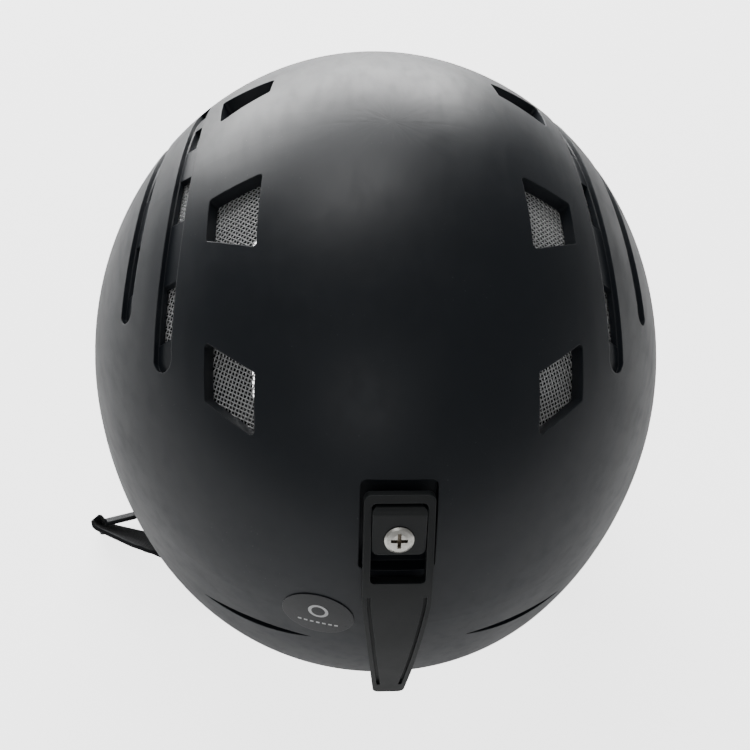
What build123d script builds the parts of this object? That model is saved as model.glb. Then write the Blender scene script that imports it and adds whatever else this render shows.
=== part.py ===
from build123d import *
import os
from functools import cache
from math import pi, sqrt

# Ski helmet: a hard shell over a foam liner, with meshed vents, a screwed goggle-strap clip that
# flips up, a dial-adjusted headband, removable ear pads and a chin strap with a slide buckle.
# Millimetres. +Z is up, the brow faces -Y, the nape +Y and the wearer's left ear +X.
# The origin is the middle of the head, level with the widest section of the shell.

# ---- shell ----
shell_width = 208.0
front_reach = 117.0          # widest section to brow
rear_reach = 119.0           # widest section to back
crown_height = 105.5
lower_depth = 132.0          # lower half's semi-height, were it not cut off at the rim
shell_wall = 2.4
fit_gap = 0.3                # between neighbouring pieces
rim_brow = 8.0               # height of the rim at the brow, the ears and the nape
rim_ear = -17.0
rim_nape = -45.0

# ---- foam liner ----
liner_wall = 24.0
liner_lift = 3.0             # the liner stops this far above the shell's rim

# ---- top vents: corner places as shares of the half-width and of the reach ----
vent_corners = {
    "front": [(0.363, -0.363), (0.537, -0.358), (0.538, -0.197), (0.377, -0.267)],
    "mid": [(0.391, 0.124), (0.553, 0.143), (0.559, 0.267), (0.406, 0.346)],
    "rear": [(0.556, 0.514), (0.407, 0.627), (0.408, 0.741), (0.555, 0.630)],
}
vent_corner_radius = 1.2
lip_wall = 1.6
lip_depth = 5.0
mesh_wall = 1.0

# ---- side grooves: centre line ends as shares, openings as distances from the groove's middle ----
groove_lines = {
    "inner": {
        "ends": [(0.606, -0.47), (0.690, 0.478)], "width": 9.0,
        "openings": [(-35, -19), (-3, 16), (37, 54)],
    },
    "outer": {
        "ends": [(0.735, -0.43), (0.822, 0.277)], "width": 7.8,
        "openings": [(-22, 0), (20, 37)],
    },
}
groove_depth = 1.8
groove_floor = 2.0
groove_front_share = 0.75    # front width over rear width
groove_ledge = 0.3           # floor left each side of an opening
opening_slant = 3.0
groove_plenum = 14.0         # depth of the air channel behind the groove

# ---- exhaust slots low on the back ----
exhaust_ends = [(61.0, -21.0), (25.0, -14.3)]    # (X, Z) of the outer and inner end
exhaust_width = 4.0

# ---- goggle-strap clip, in the frame of its screw: v up the shell, w out of it ----
clip_height = 38.5           # height of the screw
clip_half_width = 10.5
clip_tip_half_width = 4.9
clip_window_half_width = 8.3
clip_bar_top = 14.8
clip_bar_bottom = 12.2
clip_window_bottom = -14.0
clip_tip = -67.5
clip_corner = 2.2
clip_window_corner = 1.5
pivot_v = 8.6
pivot_w = 0.6
pivot_radius = 1.6
pivot_length = 1.8
running_gap = 0.06
seat_depth = 6.2
seat_side_gap = 1.0
seat_end_gap = 3.0
base_half_width = clip_window_half_width - fit_gap
base_top = 3.4
base_bottom_v = -4.6
screw_v = 0.6
screw_head_radius = 4.4
screw_radius = 2.4
screw_hole_gap = 0.2
nut_radius = 7.0
nut_wall = 3.0
groove_rail = 1.5

# ---- size sticker ----
sticker_place = (23.3, 2.0)  # (X, Z)
sticker_half_size = (11.6, 10.4)
sticker_wall = 0.3

# ---- comfort pads and headband ----
pad_wall = 5.0
headband_wall = 1.6
headband_height = 11.0
headband_depth = 2.0         # gap from the liner's inner face

# ---- fit dial ----
dial_place = (78.0, -56.0)   # (Y, Z) of the racks' middle plane and the dial's axis
dial_radius = 12.5
dial_wall = 7.0
dial_grips = 16
rack_pitch = 3.2
pinion_teeth = 9
rack_wall = 2.0
rack_body = 3.0
rack_length = 44.0
tooth_height = 1.7
case_half_width = 27.0
case_half_height = 11.5
case_wall = 1.6
spindle_radius = 2.2
cradle_wall = 2.2
cradle_width = 34.0
peg_height = -8.0
peg_radius = 3.0
peg_length = 15.0
nape_pad_wall = 4.0

# ---- ear pads ----
ear_pad_inset = 1.8          # the pads' inner face stands this far inside the liner's
ear_strap_gap = 4.3          # between a pad and the webbing outside it
ear_pad_bottom = -88.0
lining_wall = 5.0
tab_wall = 1.6

# ---- straps ----
webbing_width = 15.0
webbing_wall = 1.6
strap_inset = 8.0            # from the shell's inner face to the middle of the hanging legs
rear_anchor_inset = 13.4     # the rear anchors stand this much further in
fold_reach = 18.4            # how far the chin strap's fold stands out past the legs
front_anchor = (-24.0, -8.0)  # (Y, Z)
rear_anchor = (51.0, -14.0)
anchor_size = (5.4, 20.0, 11.0)
divider_place = (8.0, -66.0)
buckle_y = 40.0
buckle_wall = 7.6
buckle_half_width = 12.5
buckle_half_length = 24.0
floor_gap = 0.5

half_width = shell_width / 2
liner_top = shell_wall + fit_gap
liner_bottom = liner_top + liner_wall
pad_top = liner_bottom + fit_gap
pad_bottom = pad_top + pad_wall
strap_side = half_width - shell_wall - strap_inset    # distance of the hanging legs from the middle plane
ear_pad_inner = half_width - liner_bottom - ear_pad_inset
ear_pad_wall = strap_side - webbing_wall / 2 - ear_strap_gap - ear_pad_inner
reach_out = 60.0             # half-length of a cutter that has to pass right through a wall
rim_points = [
    (-front_reach - 10, rim_brow), (-0.62 * front_reach, rim_brow - 12), (-30, rim_ear + 1),
    (0, rim_ear), (28, rim_ear - 1), (60, rim_ear - 14), (90, rim_nape + 3), (rear_reach + 10, rim_nape),
]


# ---- helpers ----
@cache
def dome(depth):
    """Head-shaped solid whose surface lies this deep below the shell's outer one."""
    quarters = []
    for rear in (True, False):
        for top in (True, False):
            corner = Plane((-1, 0 if rear else -1, 0 if top else -1))
            quarter = Solid.make_sphere(1, Plane.XY, -90, 90, 360) & Solid.make_box(2, 1, 1, corner)
            reach = rear_reach if rear else front_reach
            height = crown_height if top else lower_depth
            size = (half_width - depth, reach - depth, height - depth)
            quarters.append(scale(quarter, by=size, mode=Mode.PRIVATE))
    with BuildPart() as body:
        add(quarters)
    return body.part


@cache
def layer(top, bottom):
    """The wall between two depths."""
    return dome(top) - dome(bottom)


@cache
def above_rim(lift):
    """Everything above the rim line raised by lift."""
    with BuildPart() as region:
        with BuildSketch(Plane.YZ):
            with BuildLine():
                rim = Spline(*[(y, z + lift) for y, z in rim_points])
                back_y, front_y = rim_points[-1][0], rim_points[0][0]
                Polyline(rim @ 1, (back_y, 2 * crown_height), (front_y, 2 * crown_height), rim @ 0)
            make_face()
        extrude(amount=shell_width, both=True)
    return region.part


def mirrored(piece):
    return mirror(piece, about=Plane.YZ, mode=Mode.PRIVATE)


def dome_point(across, along):
    """Point of the crown at these shares of the half-width and of the reach."""
    reach = rear_reach if along > 0 else front_reach
    return Vector(across * half_width, along * reach, sqrt(1 - across**2 - along**2) * crown_height)


def back_point(x, z):
    """Point of the shell's back at this X and Z."""
    height = crown_height if z > 0 else lower_depth
    return Vector(x, rear_reach * sqrt(1 - (x / half_width) ** 2 - (z / height) ** 2), z)


def dome_plane(point, heading):
    """Plane square to the dome at a point, its x axis along heading."""
    reach = rear_reach if point.Y > 0 else front_reach
    height = crown_height if point.Z > 0 else lower_depth
    normal = Vector(point.X / half_width**2, point.Y / reach**2, point.Z / height**2).normalized()
    heading = Vector(heading)
    return Plane(origin=point, x_dir=heading - normal * normal.dot(heading), z_dir=normal)


def flat(plane, point):
    """A point's place in a plane's own two axes."""
    local = plane.to_local_coords(point)
    return (local.X, local.Y)


def vent_plug(name, grow=0.0):
    """Straight plug through a vent, its walls moved out by grow."""
    corners = [dome_point(*share) for share in vent_corners[name]]
    face = dome_plane(sum(corners, Vector()) / len(corners), (0, 1, 0))
    with BuildPart() as plug:
        with BuildSketch(face) as outline:
            with BuildLine():
                Polyline(*[flat(face, corner) for corner in corners], close=True)
            make_face()
            fillet(outline.vertices(), vent_corner_radius)
            if grow:
                offset(amount=grow)
        extrude(amount=reach_out, both=True)
    return plug.part


def groove_plug(name, grow=0.0, opening=None):
    """Straight plug along a side groove, whole or over one of its openings."""
    (start_across, start_along), (end_across, end_along) = groove_lines[name]["ends"]
    start = dome_point(start_across, start_along)
    end = dome_point(end_across, end_along)
    middle = dome_point((start_across + end_across) / 2, (start_along + end_along) / 2)
    face = dome_plane(middle, end - start)
    rear_half = groove_lines[name]["width"] / 2 + grow
    front_half = groove_lines[name]["width"] / 2 * groove_front_share + grow
    halves = [front_half, (front_half + rear_half) / 2, rear_half]
    centres = [flat(face, point) for point in (start, middle, end)]
    upper = [(x, y + half) for (x, y), half in zip(centres, halves)]
    lower = [(x, y - half) for (x, y), half in zip(centres, halves)]
    tip = (centres[2][0] + rear_half, centres[2][1])
    with BuildPart() as plug:
        with BuildSketch(face):
            with BuildLine():
                ThreePointArc(*upper)
                ThreePointArc(upper[2], tip, lower[2])
                ThreePointArc(*reversed(lower))
                Line(lower[0], upper[0])
            make_face()
            if opening:
                first, last = opening
                with BuildSketch(mode=Mode.INTERSECT):
                    with BuildLine():
                        Polyline(
                            (first - opening_slant, -reach_out), (last - opening_slant, -reach_out),
                            (last + opening_slant, reach_out), (first + opening_slant, reach_out), close=True,
                        )
                    make_face()
        extrude(amount=reach_out / 2, both=True)
    return plug.part


def webbing(points, across, wall=webbing_wall, width=webbing_width):
    """Flat strap through points; across holds each run's width direction."""
    with BuildPart() as strap:
        for start, end, side in zip(points, points[1:], across):
            run = Vector(end) - Vector(start)
            middle = (Vector(end) + Vector(start)) / 2
            with Locations(Plane(origin=middle, x_dir=run, z_dir=run.cross(Vector(side)))):
                Box(run.length + wall, width, wall)
    return strap.part


def save(name, label):
    name.part.label = label
    export_step(name.part, f"parts/{label}.step")


os.makedirs("parts", exist_ok=True)

# ---- cutters shared by the shell, the liner and the mesh ----
vent_holes = {name: vent_plug(name) for name in vent_corners}
vent_lips = {name: vent_plug(name, lip_wall) for name in vent_corners}
vent_pockets = {name: vent_plug(name, lip_wall + fit_gap) for name in vent_corners}
groove_cuts = {name: groove_plug(name) - dome(groove_depth) for name in groove_lines}
groove_tubs = {name: groove_plug(name, lip_wall) for name in groove_lines}
groove_pockets = {name: groove_plug(name, lip_wall + fit_gap) for name in groove_lines}
groove_holes = [
    groove_plug(name, -groove_ledge, opening)
    for name, line in groove_lines.items() for opening in line["openings"]
]
tub_depth = groove_depth + groove_floor

clip_origin = back_point(0, clip_height)
clip_face = dome_plane(clip_origin, (-1, 0, 0))
clip_side = Plane(origin=clip_origin, x_dir=clip_face.y_dir, z_dir=(-1, 0, 0))
seat_half_width = clip_half_width + seat_side_gap
seat_top = clip_bar_top + seat_end_gap
seat_bottom = clip_window_bottom + 1.0
seat_length = seat_top - seat_bottom


def seat_block(grow, floor, height):
    """Block over the clip's seat, grown sideways, from floor to height out of the shell."""
    with BuildPart() as block:
        with BuildSketch(clip_face.offset(floor)):
            with Locations((0, (seat_top + seat_bottom) / 2)):
                RectangleRounded(2 * (seat_half_width + grow), seat_length + 2 * grow, clip_corner + grow)
        extrude(amount=height - floor)
    return block.part


seat_wall_floor = -seat_depth - shell_wall
seat_cut = seat_block(0, -seat_depth, reach_out)
seat_wall = seat_block(shell_wall, seat_wall_floor, reach_out) & dome(shell_wall / 2)
seat_pocket = seat_block(shell_wall + fit_gap, seat_wall_floor - fit_gap, reach_out)

exhaust_start = back_point(*exhaust_ends[0])
exhaust_end = back_point(*exhaust_ends[1])
exhaust_middle = back_point(*[(a + b) / 2 for a, b in zip(*exhaust_ends)])
exhaust_face = dome_plane(exhaust_middle, exhaust_end - exhaust_start)


def exhaust_plug(grow, inward, outward):
    """Lens-shaped plug through an exhaust slot."""
    start, end = flat(exhaust_face, exhaust_start), flat(exhaust_face, exhaust_end)
    middle_x = (start[0] + end[0]) / 2
    middle_y = (start[1] + end[1]) / 2
    half = exhaust_width / 2
    with BuildPart() as plug:
        with BuildSketch(exhaust_face.offset(-inward)):
            with BuildLine():
                ThreePointArc(start, (middle_x, middle_y + half), end)
                ThreePointArc(end, (middle_x, middle_y - half), start)
            make_face()
            if grow:
                offset(amount=grow)
        extrude(amount=inward + outward)
    return plug.part


exhaust_hole = exhaust_plug(0, 12, 20)
exhaust_channel = exhaust_plug(2.0, 12, 20)

# ---- outer shell ----
with BuildPart() as outer_shell:
    add(layer(0, shell_wall))
    for name in vent_corners:
        lip = vent_lips[name] & layer(shell_wall / 2, lip_depth)
        add([lip, mirrored(lip)])
    for name in groove_lines:
        tub = groove_tubs[name] & layer(shell_wall / 2, tub_depth)
        add([tub, mirrored(tub)])
    add(seat_wall)
    for cutter in [*vent_holes.values(), *groove_cuts.values(), *groove_holes, exhaust_hole]:
        add([cutter, mirrored(cutter)], mode=Mode.SUBTRACT)
    add(seat_cut, mode=Mode.SUBTRACT)
    with Locations(clip_face):
        with Locations((0, screw_v, 0)):
            Cylinder(screw_radius + screw_hole_gap, 2 * reach_out / 3, mode=Mode.SUBTRACT)
    add(above_rim(0), mode=Mode.INTERSECT)
save(outer_shell, "outer_shell")

# ---- strap anchors: where they sit in the liner ----
front_anchor_centre = (strap_side, *front_anchor)
rear_anchor_centre = (strap_side - rear_anchor_inset, *rear_anchor)
anchor_centres = [front_anchor_centre, rear_anchor_centre]
divider_y, divider_z = divider_place
leg_routes = [
    [(strap_side, front_anchor[0], front_anchor[1] - 4), (strap_side, divider_y - 11, divider_z)],
    [
        (rear_anchor_centre[0], rear_anchor[0], rear_anchor[1] - 4),
        (strap_side - 4.0, rear_anchor[0] - 7, rear_anchor[1] - 20), (strap_side, divider_y + 11, divider_z),
    ],
]
leg_widths = [[(0, 1, 0.4)], [(0, 1, -0.8), (0, 1, -0.8)]]


def strap_leg(index, grow=0.0):
    """Hanging leg from an anchor to the divider."""
    return webbing(leg_routes[index], leg_widths[index], webbing_wall + 2 * grow, webbing_width + 2 * grow)


def anchor_block(centre, grow=0.0):
    with BuildPart() as block:
        with Locations(centre):
            Box(*[side + 2 * grow for side in anchor_size])
    return block.part


# ---- ear pad tab: a plate half in the pad, half in the liner ----
tab_x = ear_pad_inner + ear_pad_wall * 0.5


def ear_tab(grow=0.0):
    with BuildPart() as plate:
        with BuildSketch(Plane.YZ.offset(tab_x - tab_wall / 2 - grow)):
            with Locations((0, rim_ear - 1)):
                RectangleRounded(40 + 2 * grow, 38 + 2 * grow, 5 + grow)
        extrude(amount=tab_wall + 2 * grow)
    return plate.part


# ---- foam liner ----
peg_start = rear_reach - liner_bottom - 6.0      # Y where the cradle's peg begins

with BuildPart() as eps_liner:
    add(layer(liner_top, liner_bottom))
    for name in vent_corners:
        pocket = vent_pockets[name] - dome(lip_depth + mesh_wall + 3 * fit_gap)
        for cutter in (pocket, vent_holes[name]):
            add([cutter, mirrored(cutter)], mode=Mode.SUBTRACT)
    for name in groove_lines:
        pocket = groove_pockets[name] - dome(groove_plenum)
        add([pocket, mirrored(pocket)], mode=Mode.SUBTRACT)
    add(seat_pocket, mode=Mode.SUBTRACT)
    with BuildSketch(clip_face.offset(seat_wall_floor)):
        with Locations((0, screw_v)):
            Circle(nut_radius + 1.0)
    extrude(amount=-nut_wall - 4.0, mode=Mode.SUBTRACT)
    for cutter in (exhaust_channel, ear_tab(fit_gap / 2)):
        add([cutter, mirrored(cutter)], mode=Mode.SUBTRACT)
    for index, centre in enumerate(anchor_centres):
        for cutter in (anchor_block(centre, fit_gap), strap_leg(index, fit_gap)):
            add([cutter, mirrored(cutter)], mode=Mode.SUBTRACT)
    with BuildSketch(Plane.XZ.offset(-peg_start)):
        with Locations((0, peg_height)):
            Circle(peg_radius + running_gap)
    extrude(amount=-peg_length - fit_gap, mode=Mode.SUBTRACT)
    add(above_rim(liner_lift), mode=Mode.INTERSECT)
save(eps_liner, "eps_liner")

# ---- woven metal mesh behind every vent and groove ----
mesh_top = lip_depth + fit_gap
for name, lip in vent_lips.items():
    plate = lip & layer(mesh_top, mesh_top + mesh_wall)
    for side, piece in (("left", plate), ("right", mirrored(plate))):
        with BuildPart() as vent_mesh:
            add(piece)
        save(vent_mesh, f"{name}_vent_mesh_{side}")
groove_mesh_top = tub_depth + fit_gap
for name, tub in groove_tubs.items():
    plate = tub & layer(groove_mesh_top, groove_mesh_top + mesh_wall)
    for side, piece in (("left", plate), ("right", mirrored(plate))):
        with BuildPart() as groove_mesh:
            add(piece)
        save(groove_mesh, f"{name}_groove_mesh_{side}")

# ---- size sticker on the back ----
sticker_plane = dome_plane(back_point(*sticker_place), (-1, 0, 0))
with BuildPart() as size_sticker:
    with BuildSketch(sticker_plane):
        Ellipse(*sticker_half_size)
    extrude(amount=10, both=True)
    add(layer(-sticker_wall - fit_gap / 6, -fit_gap / 6), mode=Mode.INTERSECT)
save(size_sticker, "size_sticker")

# ---- goggle clip: a frame that turns on two studs, with a tongue over the strap ----
clip_outer = [
    (clip_bar_top, 1.9), (0, 3.7), (clip_window_bottom - 2, 4.8), (-32, 2.9), (-50, -3.0), (clip_tip, -11.2),
]
clip_inner = [
    (clip_tip, -13.8), (-50, -6.6), (-32, -1.2),
    (clip_window_bottom - 2, 0.9), (0, 0.3), (clip_bar_top, -0.7),
]
clip_groove_depth = 1.3


def clip_slab(lowered=0.0):
    """The clip's side shape, as a wide slab."""
    with BuildPart() as slab:
        with BuildSketch(clip_side):
            with BuildLine():
                outer = Spline(*[(v, w - lowered) for v, w in clip_outer])
                inner = Spline(*[(v, w - lowered) for v, w in clip_inner])
                Line(outer @ 1, inner @ 0)
                Line(inner @ 1, outer @ 0)
            make_face()
        extrude(amount=seat_half_width, both=True)
    return slab.part


def clip_outline(inset):
    """Front outline of the clip, as half-widths down its length."""
    return [
        (clip_half_width - inset, clip_bar_top), (clip_half_width - inset, clip_window_bottom - 8),
        (clip_tip_half_width - inset, clip_tip), (inset - clip_tip_half_width, clip_tip),
        (inset - clip_half_width, clip_window_bottom - 8), (inset - clip_half_width, clip_bar_top),
    ]


panel_top = clip_window_bottom - 5.0
panel_inset = groove_rail + 1.1
with BuildPart() as clip_grooves:
    with BuildSketch(clip_face):
        with BuildLine():
            Polyline(*clip_outline(groove_rail), close=True)
        make_face()
        with Locations((0, (panel_top + clip_tip + 5) / 2)):
            Rectangle(2 * clip_half_width, panel_top - clip_tip - 5, mode=Mode.INTERSECT)
        with BuildSketch(mode=Mode.SUBTRACT):
            with BuildLine():
                Polyline(*clip_outline(panel_inset), close=True)
            make_face()
    extrude(amount=reach_out / 2, both=True)
    add(clip_slab() - clip_slab(clip_groove_depth), mode=Mode.INTERSECT)

with BuildPart() as goggle_clip:
    with BuildSketch(clip_face) as front:
        with BuildLine():
            Polyline(*clip_outline(0), close=True)
        make_face()
        fillet(front.vertices(), clip_corner)
        with Locations((0, (clip_bar_bottom + clip_window_bottom) / 2)):
            RectangleRounded(
                2 * clip_window_half_width, clip_bar_bottom - clip_window_bottom, clip_window_corner,
                mode=Mode.SUBTRACT,
            )
    extrude(amount=reach_out / 2, both=True)
    add(clip_slab(), mode=Mode.INTERSECT)
    add(clip_grooves.part, mode=Mode.SUBTRACT)
    with BuildSketch(clip_side.offset(-clip_window_half_width)):
        with Locations((pivot_v, pivot_w)):
            Circle(pivot_radius)
    extrude(amount=pivot_length)
    with BuildSketch(clip_side.offset(clip_window_half_width)):
        with Locations((pivot_v, pivot_w)):
            Circle(pivot_radius)
    extrude(amount=-pivot_length)
save(goggle_clip, "goggle_clip")

# ---- clip base: the fixed block that the studs turn in ----
nose_radius = base_top - pivot_w
foot_top_v = pivot_v - 1.0
with BuildPart() as clip_base:
    with BuildSketch(clip_side):
        with Locations(((base_bottom_v + foot_top_v) / 2, (base_top - seat_depth) / 2)):
            Rectangle(foot_top_v - base_bottom_v, base_top + seat_depth)
        with Locations(((foot_top_v + pivot_v) / 2, pivot_w)):
            Rectangle(pivot_v - foot_top_v, 2 * nose_radius)
        with Locations((pivot_v, pivot_w)):
            Circle(nose_radius)
    extrude(amount=base_half_width, both=True)
    with BuildSketch(clip_face) as base_front:
        with Locations((0, (base_bottom_v + pivot_v + nose_radius) / 2)):
            RectangleRounded(2 * base_half_width, pivot_v + nose_radius - base_bottom_v, clip_corner)
    extrude(amount=reach_out / 2, both=True, mode=Mode.INTERSECT)
    for end in (1, -1):
        with BuildSketch(clip_side.offset(end * (clip_window_half_width - pivot_length - fit_gap))):
            with Locations((pivot_v, pivot_w)):
                Circle(pivot_radius + running_gap)
        extrude(amount=end * (pivot_length + fit_gap), mode=Mode.SUBTRACT)
    with Locations(clip_face.offset(base_top)):
        with Locations((0, screw_v, 0)):
            CounterSinkHole(
                screw_radius + screw_hole_gap, screw_head_radius + screw_hole_gap,
                seat_depth + 2 * base_top, 90,
            )
save(clip_base, "clip_base")

# ---- clip screw and its nut ----
head_cone = screw_head_radius - screw_radius
nut_top = seat_wall_floor - fit_gap
screw_end = nut_top - nut_wall - 1.5
screw_origin = clip_face.from_local_coords((0, screw_v, 0))
head_top = base_top + 1.0
cross_length, cross_width, cross_depth = 5.0, 1.1, 2.2
with BuildPart() as clip_screw:
    with BuildSketch(Plane(origin=screw_origin, x_dir=(1, 0, 0), z_dir=clip_face.y_dir)):
        with BuildLine():
            Polyline(
                (0, head_top), (0, screw_end), (screw_radius, screw_end),
                (screw_radius, base_top - head_cone), (screw_head_radius, base_top),
                (screw_head_radius, base_top + 0.3), (screw_head_radius * 0.85, base_top + 0.7),
                (screw_head_radius * 0.5, base_top + 0.95), (0, head_top),
            )
        make_face()
    revolve(axis=Axis(screw_origin, clip_face.z_dir))
    with BuildSketch(clip_face.offset(head_top)):
        with Locations((0, screw_v)):
            Rectangle(cross_length, cross_width)
            Rectangle(cross_width, cross_length)
    extrude(amount=-cross_depth, mode=Mode.SUBTRACT)
save(clip_screw, "clip_screw")

with BuildPart() as clip_nut:
    with BuildSketch(clip_face.offset(nut_top)):
        with Locations((0, screw_v)):
            Circle(nut_radius)
            Circle(screw_radius + running_gap, mode=Mode.SUBTRACT)
    extrude(amount=-nut_wall)
save(clip_nut, "clip_nut")

# ---- comfort pads against the liner ----
pad_layer = layer(pad_top, pad_bottom)
with BuildPart() as crown_pad:
    with BuildSketch(Plane.XY.offset(crown_height / 3)):
        Ellipse(34, 44)
    extrude(amount=crown_height)
    add(pad_layer, mode=Mode.INTERSECT)
save(crown_pad, "crown_pad")


def pad_box(centre, size):
    """Piece of the pad layer inside a rounded box, seen from the side or from the front."""
    with BuildPart() as pad:
        with Locations(centre):
            Box(*size)
        fillet(pad.edges().filter_by(Axis.Z), min(size[0], size[1]) / 6)
        add(pad_layer, mode=Mode.INTERSECT)
    return pad.part


brow_pad_piece = pad_box((0, -front_reach + 30, rim_brow + 20), (112, 60, 24))
rear_pad_piece = pad_box((0, rear_reach - 30, 22), (84, 50, 26))
side_pad_piece = pad_box((half_width - 30, 6, 24), (50, 62, 24))
for label, piece in (
    ("brow_pad", brow_pad_piece), ("rear_pad", rear_pad_piece),
    ("side_pad_left", side_pad_piece), ("side_pad_right", mirrored(side_pad_piece)),
):
    with BuildPart() as comfort_pad:
        add(piece)
    save(comfort_pad, label)

# ---- fit dial: two racks drawn in by a pinion, in a case on the nape cradle ----
dial_y, dial_z = dial_place
pitch_radius = rack_pitch * pinion_teeth / (2 * pi)
rack_front = dial_y - rack_wall / 2
cavity_front = rack_front - fit_gap
cavity_back = rack_front + rack_wall + fit_gap
case_front = cavity_front - case_wall
cover_back = cavity_back + case_wall
tooth_half = rack_pitch / 4 - 0.12       # half-width of a tooth at the pitch line
tooth_slope = 0.35                       # how much a tooth narrows towards its tip
addendum = tooth_height / 2
rack_back_edge = pitch_radius + addendum + rack_body
rack_inner_end = -9.0
rack_middle = rack_inner_end + rack_length / 2
rack_teeth = 8


def rack(up):
    """Toothed bar above (up=1) or below (up=-1) the pinion, its outer end on the side of +X if above."""
    shift = 0.5 if up > 0 else 0.0
    with BuildPart() as bar:
        with BuildSketch(Plane.XZ.offset(-rack_front)):
            with Locations((up * rack_middle, dial_z + up * (rack_back_edge - rack_body / 2))):
                Rectangle(rack_length, rack_body)
            for tooth in range(-2, rack_teeth):
                middle = up * (tooth + shift) * rack_pitch
                root = dial_z + up * (pitch_radius + addendum)
                tip = dial_z + up * (pitch_radius - addendum * 0.9)
                wide = tooth_half + addendum * tooth_slope
                narrow = tooth_half - addendum * tooth_slope
                with BuildLine():
                    Polyline(
                        (middle - wide, root), (middle - narrow, tip),
                        (middle + narrow, tip), (middle + wide, root), close=True,
                    )
                make_face()
        extrude(amount=-rack_wall)
    return bar.part


for label, up in (("rack_left", 1), ("rack_right", -1)):
    with BuildPart() as rack_bar:
        add(rack(up))
    save(rack_bar, label)

tooth_root = pitch_radius - 1.15 * addendum
pinion_tooth = [
    (tooth_root - 0.5, tooth_half), (pitch_radius - 0.9 * addendum, 0.95 * tooth_half),
    (pitch_radius + 0.85 * addendum, 0.42 * tooth_half), (pitch_radius + 0.85 * addendum, -0.42 * tooth_half),
    (pitch_radius - 0.9 * addendum, -0.95 * tooth_half), (tooth_root - 0.5, -tooth_half),
]
with BuildPart() as dial_spindle:
    with BuildSketch(Plane(origin=(0, rack_front, dial_z), x_dir=(1, 0, 0), z_dir=(0, -1, 0))):
        Circle(tooth_root)
        for tooth in range(pinion_teeth):
            turn = 90 + 360 * tooth / pinion_teeth
            with BuildLine():
                Polyline(*[Vector(x, y).rotate(Axis.Z, turn) for x, y in pinion_tooth], close=True)
            make_face()
    extrude(amount=-rack_wall)
    with BuildSketch(Plane.XZ.offset(-rack_front - rack_wall)):
        with Locations((0, dial_z)):
            Circle(spindle_radius)
    extrude(amount=-(cover_back + dial_wall - 1.0 - rack_front - rack_wall))
save(dial_spindle, "dial_spindle")

dial_front = cover_back + fit_gap
with BuildPart() as fit_dial:
    with BuildSketch(Plane.XZ.offset(-dial_front)):
        with Locations((0, dial_z)):
            Circle(dial_radius)
            with PolarLocations(dial_radius + 0.6, dial_grips):
                Circle(1.3, mode=Mode.SUBTRACT)
    extrude(amount=-dial_wall)
    with BuildSketch(Plane.XZ.offset(-dial_front)):
        with Locations((0, dial_z)):
            Circle(spindle_radius + running_gap)
    extrude(amount=-dial_wall + 1.0 + fit_gap, mode=Mode.SUBTRACT)
save(fit_dial, "fit_dial")

with BuildPart() as dial_case:
    with BuildSketch(Plane.XZ.offset(-case_front)):
        with Locations((0, dial_z)):
            RectangleRounded(2 * case_half_width, 2 * case_half_height, 3.0)
    extrude(amount=case_front - cavity_back)
    with BuildSketch(Plane.XZ.offset(-cavity_front)):
        with Locations((0, dial_z)):
            Rectangle(4 * case_half_width, 2 * (rack_back_edge + fit_gap))
    extrude(amount=-reach_out, mode=Mode.SUBTRACT)
save(dial_case, "dial_case")

with BuildPart() as dial_cover:
    with BuildSketch(Plane.XZ.offset(-cavity_back)):
        with Locations((0, dial_z)):
            RectangleRounded(2 * case_half_width, 2 * case_half_height, 3.0)
            Circle(spindle_radius + running_gap, mode=Mode.SUBTRACT)
    extrude(amount=-case_wall)
save(dial_cover, "dial_cover")

# ---- nape cradle: a curved plate from a peg in the liner down to the dial's case ----
cradle_y = case_front - cradle_wall / 2
cradle_top = (0, peg_start - cradle_wall / 2, peg_height + peg_radius + 2)
cradle_points = [
    (0, cradle_y, dial_z - case_half_height), (0, cradle_y, dial_z + case_half_height + 2.5),
    (0, (cradle_y + cradle_top[1]) / 2 + 1.5, -30), cradle_top,
]
cradle_solid = webbing(cradle_points, [(1, 0, 0)] * 3, cradle_wall, cradle_width)
with BuildPart() as nape_cradle:
    add(cradle_solid)
    with Locations((0, cradle_y, dial_z)):
        Box(2 * case_half_width + 12, cradle_wall, 2 * case_half_height)
    with BuildSketch(Plane.XZ.offset(-peg_start + 3.0)):
        with Locations((0, peg_height)):
            Circle(peg_radius)
    extrude(amount=-peg_length - 3.0)
save(nape_cradle, "nape_cradle")

with BuildPart() as nape_pad:
    with Locations((0, cradle_y - cradle_wall / 2 - fit_gap - nape_pad_wall / 2, dial_z)):
        Box(2 * case_half_width + 6, nape_pad_wall, 2 * case_half_height - 4)
save(nape_pad, "nape_pad")

# ---- headband arms from the temples to the racks ----
band_depth = liner_bottom + headband_depth + headband_wall / 2
band_side = half_width - band_depth
band_end_x = rack_inner_end + rack_length + fit_gap + headband_wall


def headband_arm(rack_side):
    end_z = dial_z + rack_side * (rack_back_edge - rack_body / 2)
    points = [
        (band_side - 2.5, -14, 0), (band_side - 2.5, 10, -5), (band_side - 6.5, 30, -12),
        (band_side - 17, 49, -24), (band_side - 28, 62, -40),
        (band_end_x + 4, dial_y - 6, end_z + 4), (band_end_x, dial_y, end_z),
    ]
    runs = [(0, 0.1, 1), (0, 0.25, 1), (0, 0.4, 1), (0, 0.5, 1), (0, 0.5, 1), (0, 0.3, 1)]
    return webbing(points, runs, headband_wall, headband_height)


for label, arm in (("headband_left", headband_arm(1)), ("headband_right", mirrored(headband_arm(-1)))):
    with BuildPart() as headband:
        add(arm)
    save(headband, label)

# ---- ear pads: shell, lining and the tab that holds each in the liner ----
pad_outline = [
    (-38, -8), (38, -8), (36, -32), (29, -66), (24, ear_pad_bottom), (-34, ear_pad_bottom), (-38, -60),
]
pad_corner = 6.0


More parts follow.
